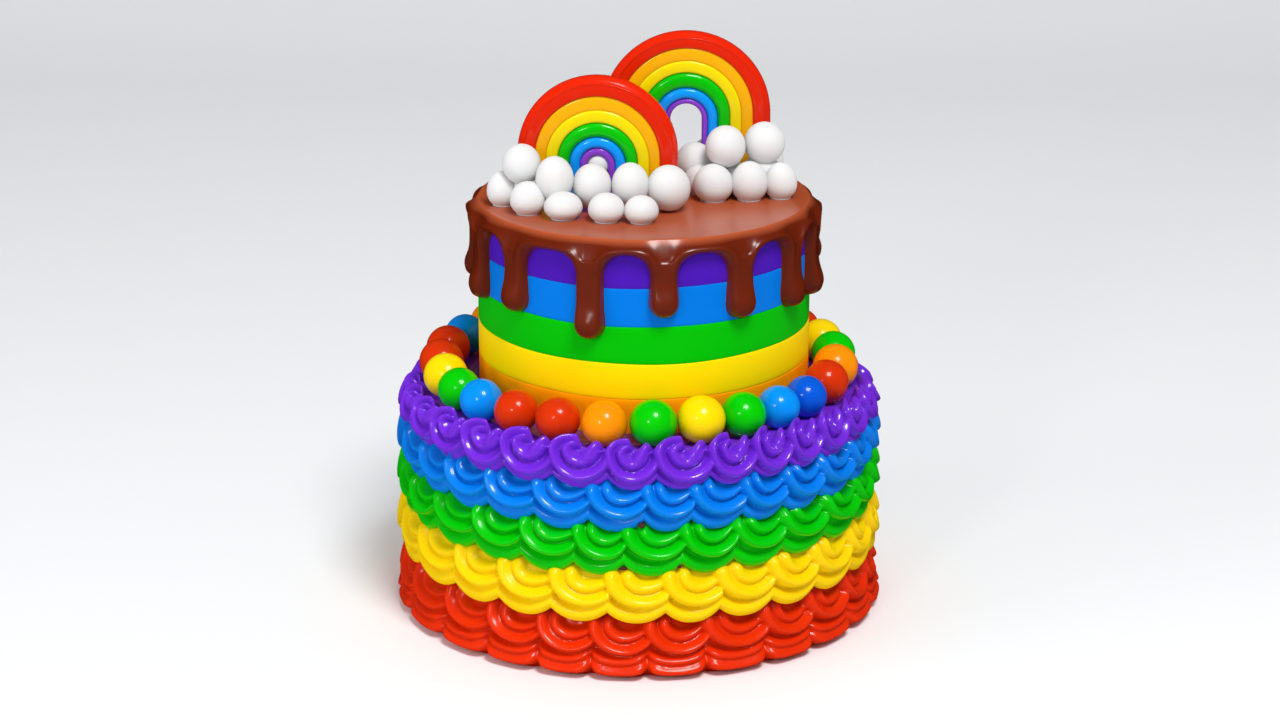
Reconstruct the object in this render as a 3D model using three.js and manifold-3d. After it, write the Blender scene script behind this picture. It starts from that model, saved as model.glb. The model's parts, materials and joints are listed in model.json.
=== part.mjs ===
// A miniature two-tier rainbow cake, about 97 mm across and 112 mm tall.
//
// The lower tier is a chocolate sponge with five rows of piped icing loops round its side, red at
// the foot and purple at the top. The upper tier is a stack of five coloured layers, with poured
// chocolate that runs down its side in drips. Round sweets ring its foot. Two rainbows, each of six
// ropes side by side, stand on the chocolate in clouds of white balls.
//
// Millimetres, +Z up. The origin is the middle of the lower tier's underside. Angles are in degrees
// round +Z, from the front (-Y) towards the right (+X).
import * as THREE from 'three';
import { mergeVertices } from 'three/addons/utils/BufferGeometryUtils.js';
import Module from 'manifold-3d';

const wasm = await Module();
wasm.setup();

// Lower tier.
const CLEARANCE = 0.3;
const SPONGE_R = 40.6;
const SPONGE_TOP = 43.2;
const SPONGE_SIDES = 24;

// Piped rows, from the foot up. A row's loops meet at the angles in joins, where the left arm of one
// lies on its neighbour, and then so many more loops go round the back, evenly spaced. Each row's
// lip hangs over the top of the row below.
const ROW_R = 48.4;
const ROWS = [
  {
    name: 'row_red', colour: '#e8300c', bottom: 3.2, behind: 17,
    joins: [-70.5, -53.4, -38.2, -24.2, -11.2, 2, 15.9, 31.1, 45, 60.1],
  },
  {
    name: 'row_yellow', colour: '#fbe104', bottom: 11.6, behind: 17,
    joins: [-64.8, -47.3, -34, -20.4, -6.9, 6, 18.8, 32.1, 45.2, 60.2],
  },
  {
    name: 'row_green', colour: '#04b805', bottom: 21, behind: 19,
    joins: [-56.1, -40.9, -27.6, -14.6, -2.6, 9.8, 22.3, 34.7, 48.8, 64.1],
  },
  {
    name: 'row_blue', colour: '#0c7eea', bottom: 29.9, behind: 20,
    joins: [-50.3, -37, -23.9, -11.3, 1, 12.1, 23.7, 34.8, 46.3, 60.6],
  },
  {
    name: 'row_purple', colour: '#7029d6', bottom: 37.8, behind: 21,
    joins: [-44.3, -31.5, -19.7, -7, 4, 16.5, 26.9, 36.9, 46.8, 59.2],
  },
];
const UNEVEN = 0.25;
const INNER_R = 41.2;
const LEDGE_RISE = 2.1;
const TUCK_R = 45.9;
// Across a loop the surface is worked out at three stations, as shares of the loop's width: the
// dip where it laps over its neighbour, its left arm and its right arm.
const STATIONS = [0, 0.24, 0.68];
// How far each station's lower edge stands above the row's bottom.
const EDGE = [1.9, 0.2, 0.2];
// The loop's levels: the height above that edge, how far the stations lean to the right, as a share
// of the loop's width, and how far each lies in from ROW_R.
const LIP = { rise: 0, lean: 0, sink: [2.4, 1.3, 1.4] };
const OUTER_ROPE = { rise: 2, lean: 0, sink: [2, 0, 0.3] };
const GROOVE = { rise: 3.8, lean: 0.08, sink: [2.6, 0.3, 1.6] };
const INNER_ROPE = { rise: 5.4, lean: 0.16, sink: [2.8, 0.4, 0.7] };
// The red row runs on down to the ground in a skirt with a rounded middle.
const SKIRT = { rise: -1.8, lean: 0.1, sink: [2.4, 0.9, 1] };
const FOOT_SINK = [3.6, 2.6, 2.7];
// The purple row ends in a crown of tips, and its icing covers the tier's top up to the upper tier.
const CROWN = { top: [45.2, 46.6, 46.3], lean: 0.2, sink: [3.9, 3.2, 3.5] };
const COVER_TOP = 44.1;
const COVER_EDGE_R = 43.4;
const COVER_INNER_R = 33;

// The upper tier and all that stands on it lie a little to the right of the lower tier's middle.
const UPPER_X = 1;

// Upper tier: each layer's name, colour and top.
const TIER_R = 32.5;
const TIER_SIDES = 24;
const LAYERS = [
  { name: 'layer_orange', colour: '#f48b02', top: 51 },
  { name: 'layer_yellow', colour: '#fbd703', top: 57.9 },
  { name: 'layer_green', colour: '#03bb05', top: 65.2 },
  { name: 'layer_blue', colour: '#0286eb', top: 72.7 },
  { name: 'layer_purple', colour: '#4f1fb8', top: 80.2 },
];
const TIER_TOP = LAYERS.at(-1).top;

// Poured chocolate. Each drip is the angle of its middle and the height of its lower end.
const CHOCOLATE_TOP = 82;
const CHOCOLATE_TOP_R = 30.9;
const CHOCOLATE_INNER_R = 32.9;
const SHOULDER = { r: 33.5, z: 81.2 };
const DRIPS = [
  [-98, 65.7], [-70, 65.2], [-45.5, 65.8], [-17, 62.9], [6.3, 67.2], [32, 65.7], [56.5, 65.2],
  [77, 65.7], [101, 66.7], [126, 64.2], [150, 67.4], [175, 63.7], [199, 66.2], [221, 64.4],
  [242, 66.8],
];
// The chocolate's lower edge is worked out at seven stations to a drip: the crown of the arch
// before it, its left neck, left side, two at its lower end, right side and right neck. Each has
// its angle from the drip's middle, the height of the edge, or its rise above the lower end, and
// how far the chocolate bulges out above the edge.
const ARCH = { edgeZ: 79.1, edgeR: 33.7, bulgeRise: 0.6, bulgeR: 34.1 };
const NECK = { edgeZ: 78, edgeR: 33.5, bulgeRise: 0.6, bulgeR: 34 };
const SIDE = { edgeRise: 2.3, edgeR: 33.6, bulgeRise: 0.9, bulgeR: 34.5 };
const END = { edgeRise: 0.1, edgeR: 34.2, bulgeRise: 1.7, bulgeR: 35.6 };
const DRIP_STATIONS = [
  { turn: -5.7, ...NECK }, { turn: -4.9, ...SIDE }, { turn: -2, ...END },
  { turn: 2, ...END }, { turn: 4.9, ...SIDE }, { turn: 5.7, ...NECK },
];

// Sweets: colour, angle and diameter, from the front round to the right.
const SWEET_RING_R = 38.9;
const SWEET_COLOURS = {
  red: '#dd3508',
  orange: '#fb9006',
  yellow: '#fbd905',
  green: '#07c500',
  light_blue: '#038ff3',
  blue: '#0449c3',
};
const SWEETS = [
  ['green', 4, 8.7], ['yellow', 17.5, 8.9], ['green', 30.4, 8.4], ['light_blue', 42.9, 8],
  ['blue', 55.2, 7.9], ['red', 69, 8.4], ['orange', 82.6, 8.7], ['green', 96, 8.5],
  ['yellow', 109.4, 8.3], ['red', 122.8, 8.1], ['light_blue', 136.3, 8.5], ['orange', 150, 8.2],
  ['green', 163.6, 8.4], ['blue', 177, 8], ['yellow', 190.4, 8.6], ['red', 204, 8.2],
  ['green', 217.4, 8.3], ['orange', 231, 8.4], ['light_blue', 244.6, 8.1], ['red', 258.4, 8.5],
  ['red', 271.9, 8.6], ['yellow', 285.2, 8.5], ['green', 297.5, 8.1], ['light_blue', 309.6, 8.1],
  ['red', 323.6, 8.2], ['red', 337.1, 8.3], ['orange', 350.5, 8.1],
];

// Rainbows: each one's place, its turn, and the half width and top of each rope's edge from the
// outside in. An edge is a half circle on straight legs.
const ROPES = [
  ['red', '#e42c06'], ['orange', '#fbab08'], ['yellow', '#f9e606'], ['green', '#05c408'],
  ['blue', '#0c90f0'], ['purple', '#7537b0'],
];
const ROPE_DEPTH = 4;
const ROPE_GAP = 0.1;
const ARCH_STEPS = 8;
const RAINBOWS = [
  {
    name: 'front_rainbow', x: -8.9, y: -1.5, turn: -3,
    edges: [
      [15.7, 106.1], [12.1, 102.3], [10, 99.5], [7.8, 97.1], [5.5, 94.2], [3.4, 92], [2, 90.5],
    ],
  },
  {
    name: 'back_rainbow', x: 8.3, y: 12, turn: 0,
    edges: [
      [16.8, 112.1], [13.5, 109], [11.2, 106.4], [8.9, 104.1], [6.6, 101], [4.8, 98.8],
      [4.2, 97.8],
    ],
  },
];

// Clouds: each ball's x and y, how high its underside is lifted off the chocolate, its radius and
// its height over its width. The balls of a heap touch, so they are joined.
const CLOUDS = {
  front_cloud: [
    [-27.1, -8, 0, 3.1, 1.13], [-22.1, -14.2, 0, 3.45, 0.95], [-15.3, -17.7, 0, 3.7, 0.72],
    [-7.1, -19.8, 0, 3.5, 0.82], [-0.5, -20.5, 0, 3.3, 0.82], [-23.4, -8.2, 4.5, 3.7, 1.05],
    [-17, -10.2, 2.5, 3.65, 1.09], [-9.9, -10.3, 1.2, 3.6, 1.05], [-2.6, -10.3, 1.3, 3.6, 1.1],
    [-22.3, -8.8, 0, 3.3, 1], [-16.9, -12.5, 0, 3.4, 1], [-9.9, -14.4, 0, 3.6, 1],
    [-3.5, -15.5, 0, 3.7, 1],
  ],
  end_ball: [[4.9, -11.4, 0, 4.05, 1.1]],
  middle_cloud: [
    [-21.6, 6.1, 0, 3.5, 1], [-15.4, 5.7, 0, 3.5, 1], [-9.2, 5.4, 0.9, 3.7, 1],
    [-3.2, 5.2, 0, 3.4, 1], [2.8, 4.4, 0, 3.4, 1],
  ],
  back_cloud: [
    [13.4, -4.4, 0, 3.9, 0.96], [20.4, -3.9, 0, 3.6, 1.1], [26.5, -2.7, 0, 3.2, 1.15],
    [15.8, -0.6, 5.8, 3.9, 1.05], [23.4, 1.4, 6, 4, 1.03], [9.9, 4.6, 1.5, 3.75, 1.05],
    [16.4, 1.3, 0, 3.7, 1], [22.9, 2.1, 0.2, 3.8, 1], [10.9, 0.8, 0, 3.2, 1],
  ],
  rear_cloud_left: [
    [-8.6, 18, 0, 3.6, 1], [-2.4, 18.6, 0, 3.6, 1], [-5.5, 18.4, 5, 3.6, 1],
  ],
  rear_cloud_right: [
    [12.9, 18.4, 0, 3.5, 1], [19, 18.1, 0, 3.6, 1], [24.7, 16.8, 0, 3.2, 1], [22, 18, 5, 3.6, 1],
  ],
};

const cake = new THREE.Group();
const upper = new THREE.Group();
upper.position.x = UPPER_X;
cake.add(upper);

function material(colour, roughness) {
  return new THREE.MeshStandardMaterial({ color: colour, roughness, metalness: 0 });
}

function add(name, geometry, finish, parent = cake) {
  const mesh = new THREE.Mesh(geometry, finish);
  mesh.name = name;
  parent.add(mesh);
  return mesh;
}

// A point at radius r, the given angle and height z.
function at(r, angle, z) {
  const turn = THREE.MathUtils.degToRad(angle);
  return new THREE.Vector3(r * Math.sin(turn), -r * Math.cos(turn), z);
}

// Triangles between two rings that start at indices a and b. One ring's number of points divides
// the other's, and a ring of one point is a pole.
function strip(a, countA, b, countB) {
  const steps = Math.max(countA, countB);
  const faces = [];
  for (let i = 0; i < steps; i += 1) {
    const a0 = a + Math.floor((i * countA) / steps);
    const a1 = a + (Math.floor(((i + 1) * countA) / steps) % countA);
    const b0 = b + Math.floor((i * countB) / steps);
    const b1 = b + (Math.floor(((i + 1) * countB) / steps) % countB);
    if (a0 !== a1) faces.push(a0, a1, b1);
    if (b0 !== b1) faces.push(a0, b1, b0);
  }
  return faces;
}

// A closed surface through rings of points that run anticlockwise seen from above: from one pole
// to another, or round a section that meets itself when the loop is closed.
function surface(rings, closed) {
  const starts = [];
  let count = 0;
  for (const ring of rings) {
    starts.push(count);
    count += ring.length;
  }
  const faces = [];
  const strips = closed ? rings.length : rings.length - 1;
  for (let i = 0; i < strips; i += 1) {
    const next = (i + 1) % rings.length;
    faces.push(...strip(starts[i], rings[i].length, starts[next], rings[next].length));
  }
  const geometry = new THREE.BufferGeometry().setFromPoints(rings.flat());
  geometry.setIndex(faces);
  geometry.computeVertexNormals();
  return geometry;
}

// A plain disc from z0 to z1.
function disc(r, z0, z1, sides) {
  const profile = [[0, z0], [r, z0], [r, z1], [0, z1]].map(([x, z]) => new THREE.Vector2(x, z));
  return new THREE.LatheGeometry(profile, sides).rotateX(Math.PI / 2);
}

// A small steady unevenness for the i-th of a row of handmade things, from -1 to 1.
function unevenness(i) {
  return Math.sin(2.4 * i + 0.7 * Math.sin(1.3 * i));
}

function loopsOf({ joins, behind }) {
  return joins.length - 1 + behind;
}

// The angle at a place along a row, in loops from its first join.
function loopAngle({ joins, behind }, place) {
  const front = joins.length - 1;
  const step = (joins[0] + 360 - joins.at(-1)) / behind;
  if (place >= front) return joins.at(-1) + (place - front) * step;
  const loop = Math.floor(place);
  return joins[loop] + (place - loop) * (joins[loop + 1] - joins[loop]);
}

// The points of one level of a piped row, three to each loop.
function loopRing(row, lean, radiusAt, heightAt) {
  const points = [];
  for (let loop = 0; loop < loopsOf(row); loop += 1) {
    STATIONS.forEach((share, station) => {
      const angle = loopAngle(row, loop + share + lean);
      points.push(at(radiusAt(station, loop), angle, heightAt(station, loop)));
    });
  }
  return points;
}

function loopLevel(row, { rise, lean, sink }) {
  return loopRing(
    row,
    lean,
    (station, loop) => ROW_R - sink[station] - UNEVEN * (1 + unevenness(loop + row.bottom)),
    (station, loop) => row.bottom + EDGE[station] + rise + UNEVEN * unevenness(loop),
  );
}

// A plain ring with one point to each loop.
function plainRing(row, r, z) {
  return Array.from({ length: loopsOf(row) }, (_, i) => at(r, loopAngle(row, i), z));
}

// The same ring round the upper tier.
function tierRing(row, r, z) {
  return plainRing(row, r, z).map((point) => point.setX(point.x + UPPER_X));
}

// A row's loops, from the lip up to the inner rope.
function loopLevels(row) {
  return [LIP, OUTER_ROPE, GROOVE, INNER_ROPE].map((level) => loopLevel(row, level));
}

// The top of a row, which leans in behind the lip of the row above.
function tuckedTop(row, above) {
  return [
    plainRing(row, TUCK_R, above.bottom - CLEARANCE),
    plainRing(row, INNER_R, above.bottom + LEDGE_RISE - CLEARANCE),
  ];
}

function redFoot(row) {
  const foot = loopRing(row, SKIRT.lean, (station) => ROW_R - FOOT_SINK[station], () => 0);
  return [plainRing(row, INNER_R, 0), foot, loopLevel(row, SKIRT)];
}

function purpleCover(row) {
  const crown = loopRing(
    row,
    CROWN.lean,
    (station) => ROW_R - CROWN.sink[station],
    (station, loop) => CROWN.top[station] + UNEVEN * unevenness(loop),
  );
  const under = SPONGE_TOP + CLEARANCE;
  return [
    crown,
    plainRing(row, COVER_EDGE_R, COVER_TOP),
    tierRing(row, COVER_INNER_R, COVER_TOP),
    tierRing(row, COVER_INNER_R, under),
    plainRing(row, INNER_R, under),
  ];
}

function addLowerTier() {
  add('sponge', disc(SPONGE_R, 0, SPONGE_TOP, SPONGE_SIDES), material('#5a2f1c', 0.9));
  ROWS.forEach((row, i) => {
    const above = ROWS[i + 1];
    const foot = i === 0 ? redFoot(row) : [plainRing(row, INNER_R, row.bottom + LEDGE_RISE)];
    const top = above ? tuckedTop(row, above) : purpleCover(row);
    add(row.name, surface([...foot, ...loopLevels(row), ...top], true), material(row.colour, 0.3));
  });
}

function addUpperTier() {
  let z = SPONGE_TOP;
  for (const { name, colour, top } of LAYERS) {
    add(name, disc(TIER_R, z, top, TIER_SIDES), material(colour, 0.4), upper);
    z = top;
  }
}

// The chocolate's stations all round, each with its angle.
function chocolateStations() {
  return DRIPS.flatMap(([angle, end], i) => {
    const before = i === 0 ? DRIPS.at(-1)[0] - 360 : DRIPS[i - 1][0];
    const drip = DRIP_STATIONS.map((station) => ({
      ...station,
      angle: angle + station.turn,
      edgeZ: station.edgeZ ?? end + station.edgeRise,
    }));
    return [{ ...ARCH, angle: (before + angle) / 2 }, ...drip];
  });
}

function addChocolate() {
  const stations = chocolateStations();
  const fine = (radiusOf, heightOf) => stations.map((s) => at(radiusOf(s), s.angle, heightOf(s)));
  const coarse = (r, z) => fine(() => r, () => z).filter((_, i) => i % 3 === 0);
  const rings = [
    [new THREE.Vector3(0, 0, TIER_TOP)],
    coarse(CHOCOLATE_INNER_R, TIER_TOP),
    fine(() => CHOCOLATE_INNER_R, (s) => s.edgeZ),
    fine((s) => s.edgeR, (s) => s.edgeZ),
    fine((s) => s.bulgeR, (s) => s.edgeZ + s.bulgeRise),
    coarse(SHOULDER.r, SHOULDER.z),
    coarse(CHOCOLATE_TOP_R, CHOCOLATE_TOP),
    [new THREE.Vector3(0, 0, CHOCOLATE_TOP)],
  ];
  add('chocolate', surface(rings, false), material('#8a4a2e', 0.4), upper);
}

function addSweets() {
  SWEETS.forEach(([colour, angle, diameter], i) => {
    const radius = diameter / 2;
    const ball = new THREE.OctahedronGeometry(radius, 1);
    const name = `sweet_${String(i + 1).padStart(2, '0')}`;
    const mesh = add(name, ball, material(SWEET_COLOURS[colour], 0.15));
    mesh.position.copy(at(SWEET_RING_R, angle, COVER_TOP + radius));
  });
}

// One edge of a rope, grown by so much, in the rainbow's own plane: up the left leg, over and down.
function edgeLine([halfWidth, top], grow) {
  const radius = halfWidth + grow;
  const centre = top - halfWidth;
  const foot = CHOCOLATE_TOP + CLEARANCE;
  const line = [new THREE.Vector2(-radius, foot)];
  for (let i = 0; i <= ARCH_STEPS; i += 1) {
    const turn = Math.PI * (1 - i / ARCH_STEPS);
    const x = radius * Math.cos(turn);
    line.push(new THREE.Vector2(x, centre + radius * Math.sin(turn)));
  }
  line.push(new THREE.Vector2(radius, foot));
  return line;
}

// A flat outline in the rainbow's plane as a slab of the given depth about that plane.
function slab(outline, depth) {
  const shape = new THREE.Shape(outline);
  const geometry = new THREE.ExtrudeGeometry(shape, { depth, bevelEnabled: false });
  return geometry.translate(0, 0, -depth / 2).rotateX(Math.PI / 2);
}

function placeRainbow(object, { x, y, turn }) {
  object.position.set(x, y, 0);
  object.rotation.z = THREE.MathUtils.degToRad(turn);
  object.updateMatrixWorld(true);
}

function addRainbow(rainbow) {
  const group = new THREE.Group();
  placeRainbow(group, rainbow);
  upper.add(group);
  ROPES.forEach(([rope, colour], i) => {
    const outer = edgeLine(rainbow.edges[i], -ROPE_GAP / 2);
    const inner = edgeLine(rainbow.edges[i + 1], ROPE_GAP / 2);
    const geometry = slab([...outer, ...inner.reverse()], ROPE_DEPTH);
    add(`${rainbow.name}_${rope}`, geometry, material(colour, 0.3), group);
  });
}

function solidOf(geometry) {
  const bare = geometry.clone();
  bare.deleteAttribute('normal');
  bare.deleteAttribute('uv');
  const merged = mergeVertices(bare, 1e-4);
  return new wasm.Manifold(new wasm.Mesh({
    numProp: 3,
    vertProperties: merged.getAttribute('position').array,
    triVerts: new Uint32Array(merged.index.array),
  }));
}

function geometryOf(solid) {
  const { vertProperties, triVerts } = solid.getMesh();
  const geometry = new THREE.BufferGeometry();
  geometry.setAttribute('position', new THREE.BufferAttribute(vertProperties, 3));
  geometry.setIndex(new THREE.BufferAttribute(triVerts, 1));
  geometry.computeVertexNormals();
  return geometry;
}

// A rainbow's whole outline, a little larger than its ropes, which the balls keep clear of.
function rainbowRoom(rainbow) {
  const place = new THREE.Object3D();
  placeRainbow(place, rainbow);
  const outline = edgeLine(rainbow.edges[0], CLEARANCE);
  return solidOf(slab(outline, ROPE_DEPTH + 2 * CLEARANCE).applyMatrix4(place.matrixWorld));
}

function cloudBall([x, y, lift, radius, tall]) {
  const ball = new THREE.OctahedronGeometry(radius, 1).scale(1, 1, tall);
  ball.translate(x, y, CHOCOLATE_TOP + lift + radius * tall);
  return solidOf(ball);
}

function addClouds() {
  const rooms = RAINBOWS.map(rainbowRoom);
  for (const [name, balls] of Object.entries(CLOUDS)) {
    const heap = balls.map(cloudBall).reduce((sum, ball) => sum.add(ball));
    const clear = rooms.reduce((rest, room) => rest.subtract(room), heap);
    add(name, geometryOf(clear), material('#f4f4f5', 0.75), upper);
  }
}

addLowerTier();
addUpperTier();
addChocolate();
addSweets();
RAINBOWS.forEach(addRainbow);
addClouds();

export default cake;
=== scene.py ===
# %% [markdown]
# # A two-tier rainbow cake
#
# A small cake, about as tall as a mug. Its lower tier is covered in five rows of piped icing
# loops, its upper tier is five bands of smooth icing under poured chocolate, and candy rainbows
# stand on top in clouds of white balls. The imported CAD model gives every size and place. Here each
# piece gets the surface that the eye sees: the ropes of the piping, the round ends of the drips,
# the soft edges of the candy.

import json
import math

import bpy
import numpy as np
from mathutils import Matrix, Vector

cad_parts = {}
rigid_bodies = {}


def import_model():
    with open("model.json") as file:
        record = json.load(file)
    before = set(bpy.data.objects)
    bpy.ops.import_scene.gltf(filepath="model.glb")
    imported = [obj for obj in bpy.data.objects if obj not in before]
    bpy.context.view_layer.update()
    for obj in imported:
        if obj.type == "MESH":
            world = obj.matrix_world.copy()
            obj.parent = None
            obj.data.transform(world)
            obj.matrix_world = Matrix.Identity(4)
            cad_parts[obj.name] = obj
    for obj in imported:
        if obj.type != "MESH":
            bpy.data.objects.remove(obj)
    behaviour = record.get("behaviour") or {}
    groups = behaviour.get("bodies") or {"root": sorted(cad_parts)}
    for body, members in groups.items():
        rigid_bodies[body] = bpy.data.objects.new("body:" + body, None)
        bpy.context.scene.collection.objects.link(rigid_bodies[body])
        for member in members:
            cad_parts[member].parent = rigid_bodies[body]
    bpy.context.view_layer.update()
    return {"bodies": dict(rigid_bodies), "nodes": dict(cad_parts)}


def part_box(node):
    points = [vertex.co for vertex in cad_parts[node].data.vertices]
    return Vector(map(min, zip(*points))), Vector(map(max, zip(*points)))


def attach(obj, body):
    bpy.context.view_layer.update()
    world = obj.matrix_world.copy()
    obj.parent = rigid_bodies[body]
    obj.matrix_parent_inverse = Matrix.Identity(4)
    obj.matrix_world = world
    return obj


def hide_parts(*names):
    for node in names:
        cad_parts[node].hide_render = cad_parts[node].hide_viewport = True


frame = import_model()
scene = bpy.context.scene
MM = 0.001

# %% [markdown]
# ## Surfaces as arrays
#
# Every piece below is a grid of points. A grid that goes once round the cake is closed across its
# columns, and its rows run along a section of the piece. Modelling by hand would give the same
# shapes, but an array lets one formula set a whole row of piping, so that is the way here.


# %% Grids
def span(node):
    """Lowest and highest corner of a CAD node, in millimetres."""
    low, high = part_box(node)
    return np.array(low) / MM, np.array(high) / MM


def ring_faces(rows, columns, closed=False):
    """Four-sided faces of a grid whose columns go round: each face joins a point to the next column
    and the next row. When it is closed, the last row joins the first."""
    last = rows if closed else rows - 1
    row, column = np.meshgrid(np.arange(last), np.arange(columns), indexing="ij")
    ahead = (column + 1) % columns
    above = (row + 1) % rows
    start, start_above = row * columns, above * columns
    corners = [start + column, start + ahead, start_above + ahead, start_above + column]
    return np.stack(corners, axis=-1).reshape(-1, 4)


def fan_faces(first, columns, centre, flip=False):
    """Triangles from a ring of points to one centre point."""
    column = np.arange(columns)
    ring = [first + column, first + (column + 1) % columns, np.full(columns, centre)]
    if flip:
        ring = [ring[1], ring[0], ring[2]]
    return np.stack(ring, axis=-1)


def around(radius, turn, height):
    """Points at a radius, a turn in radians from the front towards the right, and a height."""
    return np.stack([radius * np.sin(turn), -radius * np.cos(turn), height + 0 * turn], axis=-1)


print("a ring of four points makes", len(ring_faces(2, 4)), "faces with the ring above it")

# %% [markdown]
# A piece takes its points and faces from arrays at once, because adding them one by one takes far
# longer. It rides on the cake's one body, has a slot for its finish and replaces the CAD nodes that
# it dresses.

# %% Pieces
BODY = next(iter(frame["bodies"]))


def make_piece(name, points, face_sets, material, nodes=()):
    """A piece from an array of points in millimetres and arrays of point numbers, one row a face.
    It takes the place of the CAD nodes that are named."""
    mesh = bpy.data.meshes.new(name)
    points = np.asarray(points, dtype=np.float64).reshape(-1, 3)
    corners = np.concatenate([faces.ravel() for faces in face_sets]).astype(np.int32)
    sizes = np.concatenate([np.full(len(faces), faces.shape[1]) for faces in face_sets])
    mesh.vertices.add(len(points))
    mesh.vertices.foreach_set("co", (points * MM).astype(np.float32).ravel())
    mesh.loops.add(len(corners))
    mesh.loops.foreach_set("vertex_index", corners)
    mesh.polygons.add(len(sizes))
    mesh.polygons.foreach_set("loop_start", (np.cumsum(sizes) - sizes).astype(np.int32))
    mesh.polygons.foreach_set("use_smooth", np.ones(len(sizes), dtype=bool))
    mesh.update(calc_edges=True)
    mesh.validate()
    piece = bpy.data.objects.new(name, mesh)
    scene.collection.objects.link(piece)
    piece.data.materials.append(material)
    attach(piece, BODY)
    if nodes:
        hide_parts(*nodes)
    print(f"{name}: {len(points)} points, {int((sizes - 2).sum())} triangles")
    return piece


print("one body:", BODY, "with", len(frame["nodes"]), "nodes")

# %% [markdown]
# ## Colours and finishes
#
# Icing, chocolate and sugar paste are all smooth things with a skin that shines a little. Each
# could be built node by node, but they differ only in a few numbers, so one function makes them
# all: a colour, how rough the skin is, how much light sinks in and spreads, and a fine unevenness.
# That is a bump and not geometry, because it is far finer than any ridge that the outline shows.
# The skin itself mirrors little, since a strong mirror lays a white veil over pure colours. A clear
# coat gives the wet rows and the candy their crisp bright spots instead.


# %% Finishes
FOOD_IOR = 1.46
SPREAD_MM = 1.2
SPREAD_COLOURS = (1.0, 0.6, 0.4)
GRAIN_DETAIL = 3
GRAIN_ROUGHNESS = 0.55


def linear(code):
    """A colour code such as ff8800 as linear red, green and blue."""
    parts = np.array([int(code[i : i + 2], 16) for i in (0, 2, 4)]) / 255
    lit = np.where(parts > 0.04045, ((parts + 0.055) / 1.055) ** 2.4, parts / 12.92)
    return [float(c) for c in lit]


def make_finish(
    name, code, rough, shine=0.5, glow=0.0, coat=0.0, coat_rough=0.14, grain=0.0, grain_size=0.6
):
    """A smooth food finish. shine is how strongly the skin mirrors light (0.5 is like glass), glow
    is how much light spreads under the skin, coat is a clear wet layer and coat_rough how blurred
    its highlights are, and grain is the height in mm of bumps that are grain_size mm wide."""
    material = bpy.data.materials.new(name)
    material.use_nodes = True
    tree = material.node_tree
    shader = tree.nodes["Principled BSDF"]
    shader.inputs["Base Color"].default_value = (*linear(code), 1)
    shader.inputs["Roughness"].default_value = rough
    shader.inputs["IOR"].default_value = FOOD_IOR
    shader.inputs["Specular IOR Level"].default_value = shine
    shader.inputs["Subsurface Weight"].default_value = glow
    shader.inputs["Subsurface Radius"].default_value = SPREAD_COLOURS
    shader.inputs["Subsurface Scale"].default_value = SPREAD_MM * MM
    shader.inputs["Coat Weight"].default_value = coat
    shader.inputs["Coat Roughness"].default_value = coat_rough
    if grain:
        place = tree.nodes.new("ShaderNodeTexCoord")
        noise = tree.nodes.new("ShaderNodeTexNoise")
        noise.inputs["Scale"].default_value = 1 / (grain_size * MM)
        noise.inputs["Detail"].default_value = GRAIN_DETAIL
        noise.inputs["Roughness"].default_value = GRAIN_ROUGHNESS
        bump = tree.nodes.new("ShaderNodeBump")
        bump.inputs["Distance"].default_value = grain * MM
        bump.inputs["Strength"].default_value = 1
        tree.links.new(place.outputs["Object"], noise.inputs["Vector"])
        tree.links.new(noise.outputs["Fac"], bump.inputs["Height"])
        tree.links.new(bump.outputs["Normal"], shader.inputs["Normal"])
    return material


print("half grey, 808080, is", round(linear("808080")[0], 2), "of the light")

# %% [markdown]
# ## The sponge
#
# The sponge carries the lower tier. Under its icing it hardly shows, apart from a few crumbs that
# are pieces of their own further down. It could be modelled again, but the CAD solid already has
# the right shape, so it only gets a matt, crumbly finish.

# %% Sponge
sponge = frame["nodes"]["sponge"]
sponge.data.materials.clear()
sponge.data.materials.append(make_finish("dark_sponge", "4a2416", 0.95, grain=0.5, grain_size=1.2))
print("sponge: the CAD shape with", len(sponge.data.polygons), "faces")

# %% [markdown]
# ## The five bands of the upper tier
#
# Each band is smooth icing wrapped round the tier. The colours meet in a fine seam that wanders a
# little, because the icing was smoothed by hand. A lathe would do, but a grid of points lets the
# seam wander, so each band is a ring of columns whose top and bottom follow the same wavy line.

# %% Bands
BAND_COLUMNS = 240
SEAM_DIP = 0.12
SIDE_SHARES = np.array([0, 0.02, 0.05, 0.15, 0.35, 0.65, 0.85, 0.95, 0.98, 1])
SIDE_DIPS = SEAM_DIP * np.array([1, 0.4, 0.08, 0, 0, 0, 0, 0.08, 0.4, 1])
BANDS = [
    ("layer_orange", "fc9b02"),
    ("layer_yellow", "fcd602"),
    ("layer_green", "02b603"),
    ("layer_blue", "0173d6"),
    ("layer_purple", "4817ab"),
]


def seam(turn, height):
    """The height of a seam: its level plus two slow waves round the tier, 0.2 mm in all. Each
    seam's waves start elsewhere, because their phase depends on its height."""
    slow = 0.16 * np.sin(3 * turn + 0.911 * height + 1.95)
    return height + slow + 0.05 * np.sin(7 * turn + 2.3 * height + 2)


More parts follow.
